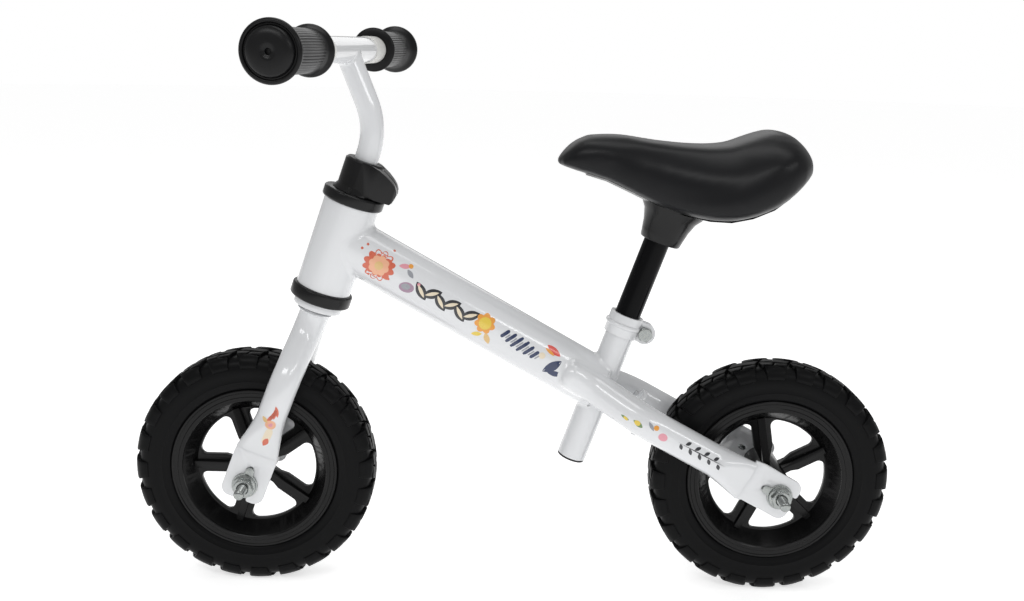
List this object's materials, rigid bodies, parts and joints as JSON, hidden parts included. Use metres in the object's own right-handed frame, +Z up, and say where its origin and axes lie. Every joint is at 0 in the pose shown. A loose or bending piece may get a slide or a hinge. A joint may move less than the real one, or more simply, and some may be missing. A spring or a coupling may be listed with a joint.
{
  "type": "balance bike",
  "caption": "Child's pedal-less balance bike with a tubular frame, curved-leg fork, foam-tyred moulded wheels, clamped handlebar and height-adjustable saddle.",
  "frame": {"origin": "on the ground, midway between the two axles, in the middle plane", "axes": "+X towards the front of the bike, +Y towards its left, +Z up"},
  "size_m": [0.758, 0.4271, 0.5577],
  "materials": {
    "white_paint": "gloss",
    "black_tube": "gloss",
    "zinc_steel": "satin",
    "tyre_foam": "matt",
    "wheel_plastic": "satin",
    "black_plastic": "satin",
    "pale_plastic": "satin",
    "grip_rubber": "matt",
    "saddle_cover": "satin"
  },
  "bodies": {
    "frame": {"head_tube": "white_paint", "main_tube": "white_paint", "seat_tube": "white_paint", "left_stay": "white_paint", "right_stay": "white_paint", "stay_bridge": "white_paint", "upper_headset_cup": "black_plastic", "lower_headset_cup": "black_plastic", "seat_clamp": "white_paint", "seat_clamp_bolt": "zinc_steel", "seat_clamp_nut": "zinc_steel", "seat_tube_plug": "black_plastic", "rear_axle": "zinc_steel", "rear_left_nut": "zinc_steel", "rear_right_nut": "zinc_steel", "rear_left_tab_washer": "zinc_steel", "rear_right_tab_washer": "zinc_steel", "rear_left_spacer": "zinc_steel", "rear_right_spacer": "zinc_steel"},
    "rear_wheel": {"rear_tyre": "tyre_foam", "rear_rim": "wheel_plastic", "rear_left_bearing": "zinc_steel", "rear_right_bearing": "zinc_steel"},
    "fork": {"steerer_tube": "white_paint", "fork_crown": "white_paint", "fork_left_leg": "white_paint", "fork_right_leg": "white_paint", "front_axle": "zinc_steel", "front_left_nut": "zinc_steel", "front_right_nut": "zinc_steel", "front_left_tab_washer": "zinc_steel", "front_right_tab_washer": "zinc_steel", "front_left_spacer": "zinc_steel", "front_right_spacer": "zinc_steel"},
    "front_wheel": {"front_tyre": "tyre_foam", "front_rim": "wheel_plastic", "front_left_bearing": "zinc_steel", "front_right_bearing": "zinc_steel"},
    "clamp": {"stem_clamp": "black_plastic", "stem_clamp_bolt": "zinc_steel", "stem_clamp_nut": "zinc_steel"},
    "handlebar": {"stem_tube": "white_paint", "handlebar_tube": "white_paint", "left_grip": "grip_rubber", "right_grip": "grip_rubber", "left_grip_sleeve": "pale_plastic", "right_grip_sleeve": "pale_plastic"},
    "saddle": {"seat_post": "black_tube", "saddle_base": "black_plastic", "saddle_pad": "saddle_cover"}
  },
  "joints": [
    {"name": "steering", "type": "hinge", "parent": "frame", "child": "fork", "pos_m": [0.17598, 0, 0.34526], "axis": [-0.3223, 0, 0.9466], "range_deg": [-60, 60]},
    {"name": "front_wheel_spin", "type": "hinge", "parent": "fork", "child": "front_wheel", "pos_m": [0.259, 0, 0.12], "axis": [0, 1, 0], "continuous": true},
    {"name": "rear_wheel_spin", "type": "hinge", "parent": "frame", "child": "rear_wheel", "pos_m": [-0.259, 0, 0.12], "axis": [0, 1, 0], "continuous": true},
    {"name": "bar_alignment", "type": "hinge", "parent": "fork", "child": "clamp", "pos_m": [0.15019, 0, 0.42099], "axis": [-0.3223, 0, 0.9466], "range_deg": [-12, 18]},
    {"name": "bar_height", "type": "slide", "parent": "clamp", "child": "handlebar", "axis": [-0.3223, 0, 0.9466], "range_m": [-0.003, 0.035]},
    {"name": "seat_height", "type": "slide", "parent": "frame", "child": "saddle", "axis": [-0.3239, 0, 0.9461], "range_m": [-0.065, 0.02]}
  ]
}
